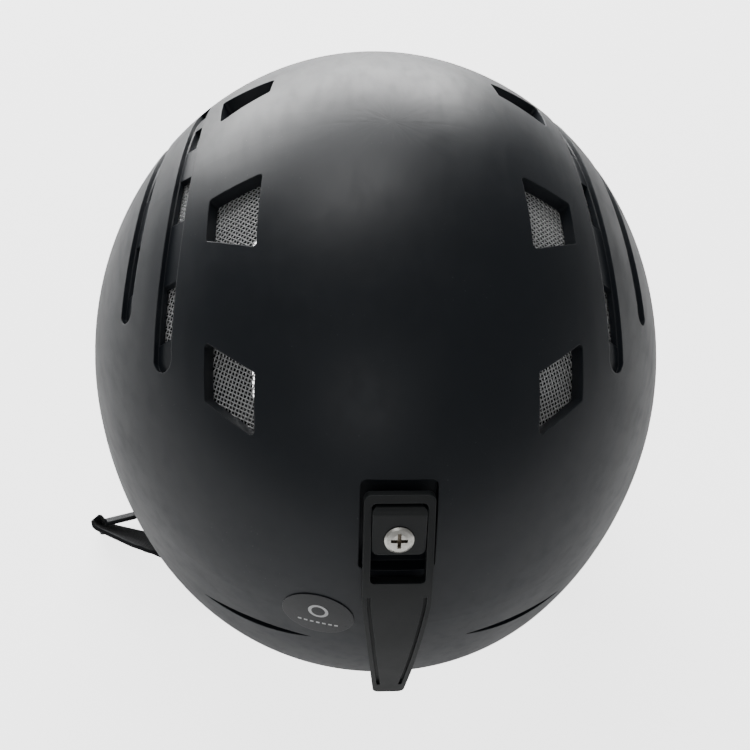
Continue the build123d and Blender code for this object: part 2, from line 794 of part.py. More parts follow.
def ear_shape(inset, inner, wall):
    """Ear pad's side outline, drawn in by inset, from inner outwards by wall."""
    with BuildPart() as body:
        with BuildSketch(Plane.YZ.offset(inner)) as side:
            with BuildLine():
                Polyline(*pad_outline, close=True)
            make_face()
            fillet(side.vertices(), pad_corner)
            if inset:
                offset(amount=-inset)
        extrude(amount=wall)
    return body.part


ear_pad_block = ear_shape(0, ear_pad_inner, ear_pad_wall)
ear_pad_shape = ear_pad_block - above_rim(liner_lift - fit_gap) - ear_tab(fit_gap / 2)
lining_inner = ear_pad_inner - fit_gap - lining_wall
with BuildPart() as lining_left:
    add(ear_shape(5.0, lining_inner, lining_wall) - above_rim(liner_lift - 6))
    with BuildSketch(Plane.YZ.offset(lining_inner)):
        with Locations((-2, -50)):
            Ellipse(15, 22)
    extrude(amount=lining_wall, mode=Mode.SUBTRACT)
pieces = {"ear_pad": ear_pad_shape, "ear_lining": lining_left.part, "ear_tab": ear_tab()}
for label, piece in pieces.items():
    for side, shape in (("left", piece), ("right", mirrored(piece))):
        with BuildPart() as ear_piece:
            add(shape)
        save(ear_piece, f"{label}_{side}")

# ---- strap anchors, hanging legs and dividers ----
divider_size = (4.6, 40.0, 14.0)
divider_top = divider_z + divider_size[2] / 2
divider_bottom = divider_z - divider_size[2] / 2
divider_top_half = divider_size[1] / 2
divider_bottom_half = webbing_width / 2 + 3
with BuildPart() as divider:
    with BuildSketch(Plane.YZ.offset(strap_side - divider_size[0] / 2)) as plate:
        with BuildLine():
            Polyline(
                (divider_y - divider_top_half, divider_top), (divider_y + divider_top_half, divider_top),
                (divider_y + divider_bottom_half, divider_bottom),
                (divider_y - divider_bottom_half, divider_bottom), close=True,
            )
        make_face()
        fillet(plate.vertices(), 2.5)
    extrude(amount=divider_size[0])

front_leg = strap_leg(0) - divider.part - anchor_block(front_anchor_centre)
rear_leg = strap_leg(1) - divider.part - anchor_block(rear_anchor_centre)
pieces = {
    "front_strap_anchor": anchor_block(front_anchor_centre),
    "rear_strap_anchor": anchor_block(rear_anchor_centre),
    "front_strap": front_leg, "rear_strap": rear_leg, "strap_divider": divider.part,
}
for label, piece in pieces.items():
    for side, shape in (("left", piece), ("right", mirrored(piece))):
        with BuildPart() as strap_piece:
            add(shape)
        save(strap_piece, f"{label}_{side}")

# ---- chin strap: a fold stands out past the shell on the left, both ends lie flat at the buckle ----
lean = (0, 0.67, 0.74)       # width direction of the webbing where it leans, half leans and lies flat
half_lean = (0, 0.85, 0.52)
level = (0, 1, 0)
flat_z = ear_pad_bottom + floor_gap + webbing_wall / 2
strap_exit = (strap_side, divider_y + 3, divider_bottom + 1)
fold_z = flat_z + 4.5        # the fold leans just above the flat stretch
strap_bend = (strap_side - 0.3, divider_y + 12, fold_z)
fold_vertex = (strap_side + fold_reach, buckle_y - 14.5, fold_z)
fold_root = (strap_side - 3.3, buckle_y - 5.7, fold_z)
half_flat = (strap_side - 23.6, buckle_y - 1, fold_z - 1.4)
flat_start = (strap_side - 35.6, buckle_y, flat_z)
flat_end = (buckle_half_length + fit_gap + webbing_wall / 2, buckle_y, flat_z)
chin_left = webbing(
    [strap_exit, strap_bend, fold_vertex, fold_root, half_flat, flat_start, flat_end],
    [lean, lean, lean, half_lean, level, level],
) - divider.part
chin_right = webbing(
    [strap_exit, strap_bend, fold_root, half_flat, flat_start, flat_end],
    [lean, lean, half_lean, level, level],
) - divider.part
for label, piece in (("chin_strap_left", chin_left), ("chin_strap_right", mirrored(chin_right))):
    with BuildPart() as chin_strap:
        add(piece)
    save(chin_strap, label)

# ---- slide buckle: the tongue's hooked bar runs along a channel in the socket, open to +Y ----
buckle_bottom = ear_pad_bottom + floor_gap
rail_wall = 2.6              # tongue between the halves
hook_wall = 4.4
rail_length = 9.0
rail_root = 3.0              # how far the rail starts inside the tongue's own half
hook_length = 3.6
rail_z = buckle_bottom + buckle_wall / 2


def buckle_channel(gap, length, middle_y):
    """The tongue with its hook, grown by gap, along Y."""
    with BuildPart() as rail:
        with Locations(((rail_root - rail_length) / 2, middle_y, rail_z)):
            Box(rail_length + rail_root + 2 * gap, length, rail_wall + 2 * gap)
        with Locations((-rail_length + hook_length / 2, middle_y, rail_z)):
            Box(hook_length + 2 * gap, length, hook_wall + 2 * gap)
    return rail.part


def buckle_half(centre_x):
    with BuildPart() as half:
        with Locations((centre_x, buckle_y, rail_z)):
            Box(buckle_half_length - fit_gap / 2, 2 * buckle_half_width, buckle_wall)
        fillet(half.edges().filter_by(Axis.Z), 2.5)
        fillet(half.faces().sort_by(Axis.Z)[-1].edges(), 1.2)
    return half.part


stop_wall = 3.0
channel_length = 2 * buckle_half_width
channel_middle = buckle_y + stop_wall
half_centre = buckle_half_length / 2 + fit_gap / 4
with BuildPart() as buckle_tongue:
    add(buckle_half(half_centre))
    add(buckle_channel(0, channel_length - 2 * stop_wall, buckle_y))
save(buckle_tongue, "buckle_tongue")
with BuildPart() as buckle_socket:
    add(buckle_half(-half_centre))
    add(buckle_channel(fit_gap, channel_length, channel_middle - fit_gap), mode=Mode.SUBTRACT)
save(buckle_socket, "buckle_socket")

# ---- chin pad over the right-hand end ----
with BuildPart() as chin_pad:
    with Locations((-(flat_start[0] + flat_end[0]) / 2, buckle_y, flat_z + webbing_wall / 2 + fit_gap + 2.0)):
        Box(flat_start[0] - flat_end[0] - 6, webbing_width + 6, 4.0)
save(chin_pad, "chin_pad")
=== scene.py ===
from functools import cache
import math

import bpy
from mathutils import Matrix, Vector
from mathutils.bvhtree import BVHTree
from mathutils.geometry import convex_hull_2d
import numpy as np


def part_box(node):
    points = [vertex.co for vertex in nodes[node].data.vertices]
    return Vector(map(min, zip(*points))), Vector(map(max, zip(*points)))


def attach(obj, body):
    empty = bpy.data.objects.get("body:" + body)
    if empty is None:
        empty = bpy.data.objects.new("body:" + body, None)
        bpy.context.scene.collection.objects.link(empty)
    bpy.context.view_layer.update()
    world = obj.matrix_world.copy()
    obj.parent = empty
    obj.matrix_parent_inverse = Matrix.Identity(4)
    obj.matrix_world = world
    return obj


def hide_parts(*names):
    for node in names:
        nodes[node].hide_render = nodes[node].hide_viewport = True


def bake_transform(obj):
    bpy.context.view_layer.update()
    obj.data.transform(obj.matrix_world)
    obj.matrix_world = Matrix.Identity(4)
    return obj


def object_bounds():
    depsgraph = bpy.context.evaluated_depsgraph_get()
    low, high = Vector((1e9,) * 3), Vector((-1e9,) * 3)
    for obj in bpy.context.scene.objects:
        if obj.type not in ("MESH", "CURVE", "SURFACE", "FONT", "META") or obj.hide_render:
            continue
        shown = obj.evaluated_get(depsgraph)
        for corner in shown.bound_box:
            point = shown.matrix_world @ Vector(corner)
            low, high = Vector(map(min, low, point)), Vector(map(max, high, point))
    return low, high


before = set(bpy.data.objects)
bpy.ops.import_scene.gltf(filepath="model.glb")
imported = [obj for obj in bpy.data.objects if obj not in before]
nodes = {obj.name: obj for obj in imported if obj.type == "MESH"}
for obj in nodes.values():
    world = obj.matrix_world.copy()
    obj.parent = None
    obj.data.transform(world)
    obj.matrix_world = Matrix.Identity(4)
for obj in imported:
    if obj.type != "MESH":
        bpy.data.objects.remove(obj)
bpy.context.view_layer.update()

sides = ("left", "right")
mm = 0.001

# ---- the shell's half-sizes, which say how the mesh and the screw face outwards ----
shell_low, shell_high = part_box("outer_shell")
half_width = shell_high.x
front_reach = -shell_low.y
rear_reach = shell_high.y
crown_height = shell_high.z


# ---- node helpers ----
def node(tree, kind, inputs=None, **settings):
    """A shader node; each input is another node's socket or a plain value."""
    made = tree.nodes.new("ShaderNode" + kind)
    for name, value in settings.items():
        setattr(made, name, value)
    for socket, value in (inputs or {}).items():
        if isinstance(value, bpy.types.NodeSocket):
            tree.links.new(value, made.inputs[socket])
        else:
            made.inputs[socket].default_value = value
    return made


def maths(tree, operation, first, second=0.0):
    return node(tree, "Math", {0: first, 1: second}, operation=operation).outputs[0]


def material(name, **values):
    """A new material, its node tree and its Principled shader with these socket values."""
    made = bpy.data.materials.new(name)
    made.use_nodes = True
    shader = made.node_tree.nodes["Principled BSDF"]
    for socket, value in values.items():
        shader.inputs[socket.replace("_", " ")].default_value = value
    return made, made.node_tree, shader


def texture_place(tree, output="Object"):
    return node(tree, "TexCoord").outputs[output]


def noise(tree, place, scale, detail=3.0, roughness=0.55):
    inputs = {"Vector": place, "Scale": scale, "Detail": detail, "Roughness": roughness}
    return node(tree, "TexNoise", inputs).outputs[0]


def ramp(tree, factor, low, high, first, second):
    """first below low, second above high, blended between."""
    return node(
        tree, "MapRange",
        {"Value": factor, "From Min": low, "From Max": high, "To Min": first, "To Max": second},
    ).outputs[0]


def colours(tree, factor, first, second):
    return node(tree, "Mix", {0: factor, 6: (*first, 1), 7: (*second, 1)}, data_type="RGBA").outputs[2]


def colour_over(tree, factor, base, second):
    """A colour laid over a colour socket."""
    return node(tree, "Mix", {0: factor, 6: base, 7: (*second, 1)}, data_type="RGBA").outputs[2]


def bump(tree, height, distance, strength=1.0, normal=None):
    inputs = {"Height": height, "Distance": distance, "Strength": strength}
    if normal:
        inputs["Normal"] = normal
    return node(tree, "Bump", inputs).outputs[0]


def rounded_edges(tree, radius):
    """A normal that rounds hard edges, and a mask that is 1 along them, where the materials paint a
    highlight.
    """
    bevel = node(tree, "Bevel", {"Radius": radius}, samples=4).outputs[0]
    straight = node(tree, "NewGeometry").outputs["Normal"]
    likeness = node(tree, "VectorMath", {0: bevel, 1: straight}, operation="DOT_PRODUCT").outputs["Value"]
    return bevel, ramp(tree, likeness, 0.99, 0.82, 0.0, 1.0)


def finish_material(tree, shader, colour=None, roughness=None, normal=None):
    for socket, value in (("Base Color", colour), ("Roughness", roughness), ("Normal", normal)):
        if value:
            tree.links.new(value, shader.inputs[socket])


# ---- materials ----
def shell_paint():
    """Matte blue-black shell: fine grain, faint smudges, dust, and a painted highlight along its edges."""
    made, tree, shader = material("shell_paint", Specular_IOR_Level=0.45)
    place = texture_place(tree)
    smudge = noise(tree, place, 28.0, 4.0, 0.6)
    stretched = node(tree, "Mapping", {"Vector": place, "Scale": (260, 60, 260)}).outputs[0]
    streak = noise(tree, stretched, 1.0, 3.0)
    dust = node(tree, "TexVoronoi", {"Vector": place, "Scale": 420.0, "Randomness": 1.0}).outputs["Distance"]
    speck = ramp(tree, dust, 0.10, 0.05, 0.0, 1.0)
    specks = maths(tree, "MULTIPLY", speck, ramp(tree, smudge, 0.5, 0.66, 0.0, 0.55))
    bevel, edge = rounded_edges(tree, 0.5 * mm)
    base = colours(tree, smudge, (0.0105, 0.0138, 0.0190), (0.0150, 0.0190, 0.0250))
    # paler colour along the edges: a painted highlight
    base = colour_over(tree, maths(tree, "MULTIPLY", edge, 0.5), base, (0.060, 0.066, 0.074))
    base = colour_over(tree, specks, base, (0.10, 0.105, 0.11))
    matte = ramp(tree, smudge, 0.3, 0.7, 0.36, 0.46)
    rough = maths(tree, "ADD", matte, ramp(tree, streak, 0.45, 0.75, 0.0, 0.06))
    grain = noise(tree, place, 2600.0, 2.0)
    finish_material(tree, shader, base, rough, bump(tree, grain, 0.03 * mm, 0.35, bevel))
    return made


def plastic(name, low, high, rough, grain_scale, grain_depth, painted_edge_highlight=0.35):
    """Moulded plastic: spark-eroded grain, rounded edges with a painted highlight along them, handling
    marks.
    """
    made, tree, shader = material(name, Specular_IOR_Level=0.5)
    place = texture_place(tree)
    patch = noise(tree, place, 90.0, 4.0, 0.6)
    grain = noise(tree, place, grain_scale, 3.0, 0.6)
    bevel, edge = rounded_edges(tree, 0.45 * mm)
    base = colours(tree, patch, low, high)
    # pale colour laid along the edges: a painted highlight
    pale = tuple(min(1.0, value * 3.2 + 0.015) for value in high)
    base = colour_over(tree, maths(tree, "MULTIPLY", edge, painted_edge_highlight), base, pale)
    finish_material(
        tree, shader, base, ramp(tree, patch, 0.3, 0.75, rough - 0.05, rough + 0.09),
        bump(tree, grain, grain_depth * mm, 0.6, bevel),
    )
    return made


def foam():
    """Expanded foam: packed beads with dark seams between them."""
    made, tree, shader = material("bead_foam", Specular_IOR_Level=0.25)
    place = texture_place(tree)
    packing = {"Vector": place, "Scale": 290.0}
    beads = node(tree, "TexVoronoi", packing, feature="DISTANCE_TO_EDGE").outputs["Distance"]
    cell = node(tree, "TexVoronoi", packing).outputs["Color"]
    tint = node(tree, "SeparateColor", {"Color": cell}).outputs[0]
    base = colours(tree, tint, (0.020, 0.021, 0.023), (0.034, 0.035, 0.038))
    base = colour_over(tree, ramp(tree, beads, 0.06, 0.0, 0.0, 0.7), base, (0.008, 0.008, 0.009))
    height = ramp(tree, beads, 0.0, 0.22, 0.0, 1.0)
    finish_material(
        tree, shader, base, ramp(tree, tint, 0.0, 1.0, 0.55, 0.75), bump(tree, height, 0.35 * mm, 0.8)
    )
    return made


def metal(name, colour, rough, scratch_scale, tarnish, metallic=1.0):
    """Bright metal with fine scratches, a little tarnish and a painted highlight along its edges."""
    made, tree, shader = material(name, Metallic=metallic)
    place = texture_place(tree)
    wear = noise(tree, place, scratch_scale, 5.0, 0.7)
    cloud = noise(tree, place, scratch_scale * 0.12, 3.0)
    bevel, edge = rounded_edges(tree, 0.25 * mm)
    base = colours(tree, ramp(tree, cloud, 0.42, 0.72, 0.0, 1.0), colour, tarnish)
    # paler colour along the edges: a painted highlight
    base = colour_over(tree, maths(tree, "MULTIPLY", edge, 0.4), base, (0.85, 0.84, 0.82))
    rougher = ramp(tree, wear, 0.3, 0.75, rough, rough + 0.22)
    finish_material(tree, shader, base, rougher, bump(tree, wear, 0.03 * mm, 0.5, bevel))
    return made


def screw_metal():
    """Bright nickel head whose cross is coloured dark brown, deeper in along the screw's own axis."""
    low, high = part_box("clip_screw")
    centre = (low + high) / 2
    axis = Vector((0, centre.y / rear_reach**2, centre.z / crown_height**2)).normalized()
    head = max(vertex.co.dot(axis) for vertex in nodes["clip_screw"].data.vertices)
    made, tree, shader = material("screw_nickel", Metallic=1.0)
    place = texture_place(tree)
    height = node(tree, "VectorMath", {0: place, 1: axis}, operation="DOT_PRODUCT").outputs["Value"]
    sunk = ramp(tree, height, head - 0.8 * mm, head - 1.1 * mm, 0.0, 1.0)
    wear = noise(tree, place, 900.0, 5.0, 0.7)
    base = colours(tree, ramp(tree, wear, 0.45, 0.8, 0.0, 1.0), (0.86, 0.85, 0.80), (0.66, 0.64, 0.58))
    base = colour_over(tree, maths(tree, "MULTIPLY", sunk, 0.9), base, (0.16, 0.125, 0.085))
    rough = ramp(tree, wear, 0.3, 0.75, 0.24, 0.42)
    finish_material(tree, shader, base, rough, bump(tree, wear, 0.02 * mm, 0.4))
    return made


def rubber():
    """Matte rubber with pores, a pale bloom and a painted highlight along its edges."""
    made, tree, shader = material("soft_rubber", Specular_IOR_Level=0.35)
    place = texture_place(tree)
    bloom = noise(tree, place, 160.0, 5.0, 0.65)
    pores = noise(tree, place, 3200.0, 2.0)
    bevel, edge = rounded_edges(tree, 0.4 * mm)
    base = colours(tree, bloom, (0.014, 0.015, 0.016), (0.030, 0.031, 0.033))
    # paler colour along the edges: a painted highlight
    base = colour_over(tree, maths(tree, "MULTIPLY", edge, 0.3), base, (0.075, 0.077, 0.08))
    rough = ramp(tree, bloom, 0.3, 0.7, 0.6, 0.8)
    finish_material(tree, shader, base, rough, bump(tree, pores, 0.04 * mm, 0.6, bevel))
    return made


def webbing():
    """Woven polyester strap: rows of yarn across the strap, read from its own UV map in metres, with painted
    shade in the hollows between the yarns.
    """
    made, tree, shader = material(
        "woven_webbing", Specular_IOR_Level=0.3, Sheen_Weight=0.25, Sheen_Roughness=0.45,
    )
    rib_pitch, pick_pitch = 1.05 * mm, 0.85 * mm
    split = node(tree, "SeparateXYZ", {"Vector": texture_place(tree, "UV")})
    across, along = split.outputs[0], split.outputs[1]

    def humps(distance, pitch):
        """Rows of round humps, one for each pitch."""
        wave = maths(tree, "SINE", maths(tree, "MULTIPLY", distance, math.pi / pitch))
        return maths(tree, "ABSOLUTE", wave)

    rib = humps(across, rib_pitch)
    pick = humps(maths(tree, "ADD", along, maths(tree, "MULTIPLY", across, 0.9)), pick_pitch)
    yarn = maths(tree, "MULTIPLY", rib, maths(tree, "ADD", maths(tree, "MULTIPLY", pick, 0.75), 0.25))
    fuzz = noise(tree, texture_place(tree), 1800.0, 3.0, 0.7)
    height = maths(tree, "ADD", yarn, maths(tree, "MULTIPLY", fuzz, 0.35))
    # colour follows the yarn height: painted shade in the hollows of the weave, lighter on the yarn tops;
    # the fuzz varies the tone at random
    base = colours(tree, height, (0.0060, 0.0065, 0.0075), (0.034, 0.036, 0.040))
    rough = ramp(tree, yarn, 0.0, 1.0, 0.85, 0.62)
    finish_material(tree, shader, base, rough, bump(tree, height, 0.22 * mm, 0.8))
    return made


def knit(name, low, high, pitch, depth, sheen):
    """Soft brushed or knitted fabric: small loops with painted shade between them, lint and slow colour
    drift.
    """
    made, tree, shader = material(name, Specular_IOR_Level=0.2, Sheen_Weight=sheen, Sheen_Roughness=0.5)
    place = texture_place(tree)
    warp = noise(tree, place, 140.0, 3.0)
    shift = node(tree, "CombineXYZ", {0: warp, 1: warp, 2: warp}).outputs[0]
    small_shift = node(tree, "VectorMath", {0: shift, 3: 0.5 * mm}, operation="SCALE").outputs[0]
    moved = node(tree, "VectorMath", {0: place, 1: small_shift}, operation="ADD").outputs[0]
    rows = {"Vector": moved, "Scale": 1 / (pitch * mm), "Randomness": 0.35}
    loops = node(tree, "TexVoronoi", rows).outputs["Distance"]
    lint = noise(tree, place, 1500.0, 4.0, 0.75)
    drift = noise(tree, place, 30.0, 3.0)
    height = maths(tree, "ADD", ramp(tree, loops, 0.1, 0.6, 1.0, 0.0), maths(tree, "MULTIPLY", lint, 0.5))
    # colour darker between the loops: painted shade; lint and drift vary the tone at random
    shade = maths(tree, "ADD", maths(tree, "MULTIPLY", height, 0.55), maths(tree, "MULTIPLY", drift, 0.3))
    base = colours(tree, shade, low, high)
    rough = ramp(tree, lint, 0.3, 0.7, 0.8, 0.95)
    finish_material(tree, shader, base, rough, bump(tree, height, depth * mm, 0.8))
    return made


def vinyl():
    """Printed sticker film: satin, faintly rippled, with a painted highlight along its cut edge."""
    made, tree, shader = material("sticker_film", Specular_IOR_Level=0.5)
    place = texture_place(tree)
    ripple = noise(tree, place, 130.0, 3.0)
    fine = noise(tree, place, 900.0, 3.0)
    bevel, edge = rounded_edges(tree, 0.3 * mm)
    base = colours(tree, fine, (0.010, 0.012, 0.015), (0.017, 0.019, 0.023))
    # paler colour along the edges: a painted highlight
    base = colour_over(tree, maths(tree, "MULTIPLY", edge, 0.8), base, (0.13, 0.14, 0.15))
    rough = ramp(tree, fine, 0.3, 0.7, 0.27, 0.36)
    finish_material(tree, shader, base, rough, bump(tree, ripple, 0.12 * mm, 0.4, bevel))
    return made


def ink():
    """Pale print, a little uneven."""
    made, tree, shader = material("sticker_ink", Specular_IOR_Level=0.4)
    place = texture_place(tree)
    dots = noise(tree, place, 2400.0, 2.0)
    base = colours(tree, dots, (0.62, 0.63, 0.64), (0.80, 0.81, 0.82))
    rough = ramp(tree, dots, 0.3, 0.7, 0.45, 0.6)
    finish_material(tree, shader, base, rough, bump(tree, dots, 0.01 * mm, 0.5))
    return made


def thread():
    """Dark sewing thread with a twist."""
    made, tree, shader = material("sewing_thread", Specular_IOR_Level=0.3, Sheen_Weight=0.3)
    twist = noise(tree, texture_place(tree), 2600.0, 2.0)
    base = colours(tree, twist, (0.020, 0.021, 0.023), (0.070, 0.072, 0.076))
    rough = ramp(tree, twist, 0.3, 0.7, 0.6, 0.8)
    finish_material(tree, shader, base, rough, bump(tree, twist, 0.06 * mm, 0.7))
    return made


def floor_paper():
    """White paper that glows faintly on the helmet and brightly to the camera."""
    made, tree, shader = material("floor_paper", Roughness=0.9)
    fibre = noise(tree, texture_place(tree), 60.0, 4.0)
    paper = colours(tree, fibre, (0.86, 0.86, 0.86), (0.88, 0.88, 0.88))
    finish_material(tree, shader, paper)
    tree.links.new(paper, shader.inputs["Emission Color"])
    seen = node(tree, "LightPath").outputs["Is Camera Ray"]
    glow = ramp(tree, seen, 0.0, 1.0, 0.38, 3.4)
    tree.links.new(glow, shader.inputs["Emission Strength"])
    return made


finishes = {
    "shell": shell_paint(),
    "foam": foam(),
    "mesh": metal("woven_steel", (0.92, 0.92, 0.92), 0.38, 900.0, (0.82, 0.83, 0.84), 0.7),
    # the clip's last value is the strength of its painted edge highlight
    "clip_plastic": plastic(
        "clip_plastic", (0.0095, 0.0115, 0.0125), (0.015, 0.0175, 0.0185), 0.47, 2200.0, 0.05, 0.95,
    ),
    "screw": screw_metal(),
    "steel": metal("nickel_steel", (0.66, 0.65, 0.62), 0.16, 700.0, (0.42, 0.38, 0.33)),
    "fit_plastic": plastic("fit_plastic", (0.010, 0.011, 0.012), (0.018, 0.019, 0.021), 0.50, 1500.0, 0.07),
    "dial_rubber": rubber(),
    "webbing": webbing(),
    "pad_fabric": knit("brushed_lining", (0.006, 0.0065, 0.0075), (0.036, 0.038, 0.043), 0.9, 0.25, 0.35),
    "ear_fabric": knit("ear_pad_knit", (0.008, 0.0085, 0.0095), (0.048, 0.050, 0.056), 1.3, 0.35, 0.30),
    "sticker": vinyl(),
}
sewing = thread()


def dress(name, finish):
    """A CAD node keeps its shape and gets a finish."""
    for slot in nodes[name].material_slots:
        slot.material = finishes[finish]


# ---- mesh helpers ----
def shade_smooth(data):
    data.polygons.foreach_set("use_smooth", [True] * len(data.polygons))


def mesh_object(name, vertices, faces, finish, uvs=None):
    data = bpy.data.meshes.new(name)
    data.from_pydata([tuple(v) for v in vertices], [], faces)
    shade_smooth(data)
    if uvs:
        layer = data.uv_layers.new(name="strap")
        for loop in data.loops:
            layer.data[loop.index].uv = uvs[loop.vertex_index]
    data.materials.append(finish)
    made = bpy.data.objects.new(name, data)
    bpy.context.scene.collection.objects.link(made)
    return made


def place_piece(piece, body, slot, *replaced):
    """Give a piece its body, unless it is blended, and hide the CAD nodes that it stands for; slot is not
    used.
    """
    if body:
        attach(piece, body)
    if replaced:
        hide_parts(*replaced)


def surface(obj):
    """A tree of an object's mesh for casting rays."""
    vertices = [vertex.co.copy() for vertex in obj.data.vertices]
    return BVHTree.FromPolygons(vertices, [tuple(polygon.vertices) for polygon in obj.data.polygons])


def add_tube(vertices, faces, path, radius, corners, up):
    """A round bar along a path, closed at both ends; up is any direction off the path."""
    first = len(vertices)
    last = len(path) - 1
    for index, point in enumerate(path):
        run = (path[min(index + 1, last)] - path[max(index - 1, 0)]).normalized()
        side = run.cross(up).normalized()
        over = side.cross(run)
        for corner in range(corners):
            turn = 2 * math.pi * corner / corners
            vertices.append(point + radius * (math.cos(turn) * side + math.sin(turn) * over))
    for ring in range(last):
        for corner in range(corners):
            a = first + ring * corners + corner
            b = first + ring * corners + (corner + 1) % corners
            faces.append((a, b, b + corners, a + corners))
    faces.append(tuple(range(first + corners - 1, first - 1, -1)))
    faces.append(tuple(range(first + last * corners, first + (last + 1) * corners)))


def plane_axes(normal, lean):
    """Two directions square to a normal, the first as near to lean as can be."""
    first = (lean - normal * normal.dot(lean)).normalized()
    return first, normal.cross(first).normalized()


# ---- woven mesh behind the vents and grooves ----
wire_pitch = 1.25 * mm
wire_radius = 0.22 * mm
wire_lift = 1.05 * wire_radius
wire_sink = 0.5 * mm
wire_corners = 5
above_mesh = 60 * mm
mesh_ray = 90 * mm


def weave(node_name):
    """Plain-woven wires laid diagonally over a mesh node, each passing over and under the others."""
    target = surface(nodes[node_name])
    low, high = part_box(node_name)
    centre = (low + high) / 2
    reach = rear_reach if centre.y > 0 else front_reach
    normal = Vector((centre.x / half_width**2, centre.y / reach**2, centre.z / crown_height**2)).normalized()
    u, v = plane_axes(normal, Vector((0, 1, 0)))
    diagonals = ((u + v).normalized(), (u - v).normalized())
    count = int((high - low).length / 2 / wire_pitch) + 1
    vertices, faces = [], []
    for family, (run, step) in enumerate((diagonals, diagonals[::-1])):
        for line in range(-count, count + 1):
            path = []
            row = centre + step * line * wire_pitch
            for half_step in range(-2 * count, 2 * count + 2):
                start = row + run * half_step * wire_pitch / 2 + normal * above_mesh
                hit = target.ray_cast(start, -normal, mesh_ray)[0] if half_step <= 2 * count else None
                if hit is not None:
                    wave = math.cos(math.pi * (line + half_step / 2 + family))
                    path.append(hit + normal * (wave * wire_lift - wire_sink))
                    continue
                if len(path) > 2:
                    add_tube(vertices, faces, path, wire_radius, wire_corners, normal)
                path = []
    name = node_name.replace("mesh", "wires")
    place_piece(mesh_object(name, vertices, faces, finishes["mesh"]), "helmet", "mesh", node_name)


for opening in ("front_vent", "mid_vent", "rear_vent", "inner_groove", "outer_groove"):
    for side in sides:
        weave(f"{opening}_mesh_{side}")

# ---- hard pieces that keep their CAD shape ----
hard_pieces = {
    "outer_shell": "shell", "eps_liner": "foam", "size_sticker": "sticker", "clip_base": "clip_plastic",
    "goggle_clip": "clip_plastic", "clip_screw": "screw", "clip_nut": "steel", "nape_cradle": "fit_plastic",
    "dial_case": "fit_plastic", "dial_cover": "fit_plastic", "dial_spindle": "fit_plastic",
    "fit_dial": "dial_rubber", "rack_left": "fit_plastic", "rack_right": "fit_plastic",
    "buckle_socket": "fit_plastic", "buckle_tongue": "fit_plastic",
}
for name, finish in hard_pieces.items():
    dress(name, finish)
for side in sides:
    for name in ("ear_tab", "front_strap_anchor", "rear_strap_anchor", "strap_divider"):
        dress(f"{name}_{side}", "fit_plastic")

# ---- print on the size sticker: a ring and a row of dashes, as shares of its half-sizes ----
sticker_low, sticker_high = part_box("size_sticker")
sticker_centre = (sticker_low + sticker_high) / 2
sticker_surface = surface(nodes["size_sticker"])
sticker_half_x = (sticker_high.x - sticker_low.x) / 2
sticker_half_z = (sticker_high.z - sticker_low.z) / 2
print_lift = 0.03 * mm
behind_sticker = 60 * mm
sticker_ray = 120 * mm
ring_height = 0.22
ring_steps = 40
dash_pitch = 0.17
dash_ends = (-0.05, 0.0, 0.05)
dash_low, dash_high = -0.46, -0.38


def sticker_point(x, z):
    """Point on the sticker's face, x and z as shares of its half-sizes."""
    start = sticker_centre + Vector((x * sticker_half_x, behind_sticker, z * sticker_half_z))
    hit, normal = sticker_surface.ray_cast(start, Vector((0, -1, 0)), sticker_ray)[:2]
    return hit + normal * print_lift


def band(vertices, faces, inner, outer, closed):
    """A flat strip between two rows of points."""
    first = len(vertices)
    for a, b in zip(inner, outer):
        vertices += [a, b]
    steps = len(inner) if closed else len(inner) - 1
    for step in range(steps):
        a, b = first + 2 * step, first + 2 * ((step + 1) % len(inner))
        faces.append((a, b, b + 1, a + 1))


def ring(radius_x, radius_z):
    turns = [2 * math.pi * step / ring_steps for step in range(ring_steps)]
    return [sticker_point(radius_x * math.cos(t), ring_height + radius_z * math.sin(t)) for t in turns]


print_vertices, print_faces = [], []
band(print_vertices, print_faces, ring(0.19, 0.22), ring(0.28, 0.31), True)
for dash in range(-3, 4):
    lower = [sticker_point(dash * dash_pitch + end, dash_low) for end in dash_ends]
    upper = [sticker_point(dash * dash_pitch + end, dash_high) for end in dash_ends]
    band(print_vertices, print_faces, lower, upper, False)
place_piece(mesh_object("size_sticker_print", print_vertices, print_faces, ink()), "helmet", "sticker")

# ---- padded pieces ----
channel_depth = 1.1 * mm
channel_width = 1.6 * mm
stitch_length = 2.3 * mm
stitch_gap = 1.0 * mm
stitch_radius = 0.28 * mm
stitch_corners = 5
pad_shrink = 0.5 * mm
pad_gap = 0.1 * mm
cloth_frames = 18
outline_rays = 160
above_pad = 80 * mm


def soft_copy(node_name, voxel, shrink):
    """A CAD pad's shape as a fine even mesh, drawn in a little so that it has room to swell."""
    data = nodes[node_name].data.copy()
    data.materials.clear()
    made = bpy.data.objects.new(node_name + "_fabric", data)
    bpy.context.scene.collection.objects.link(made)
    remesh = made.modifiers.new("even", "REMESH")
    remesh.mode = "VOXEL"
    remesh.voxel_size = voxel
    smooth = made.modifiers.new("soften", "SMOOTH")
    smooth.factor, smooth.iterations = 0.6, 6
    apply_modifiers(made)
    for vertex in made.data.vertices:
        vertex.co -= vertex.normal * shrink
    return made


def apply_modifiers(obj):
    """The object's mesh becomes what its modifiers make of it."""
    graph = bpy.context.evaluated_depsgraph_get()
    shaped = obj.evaluated_get(graph)
    data = bpy.data.meshes.new_from_object(shaped, preserve_all_data_layers=True, depsgraph=graph)
    obj.modifiers.clear()
    obj.data = data


@cache
def node_surface(name):
    return surface(nodes[name])


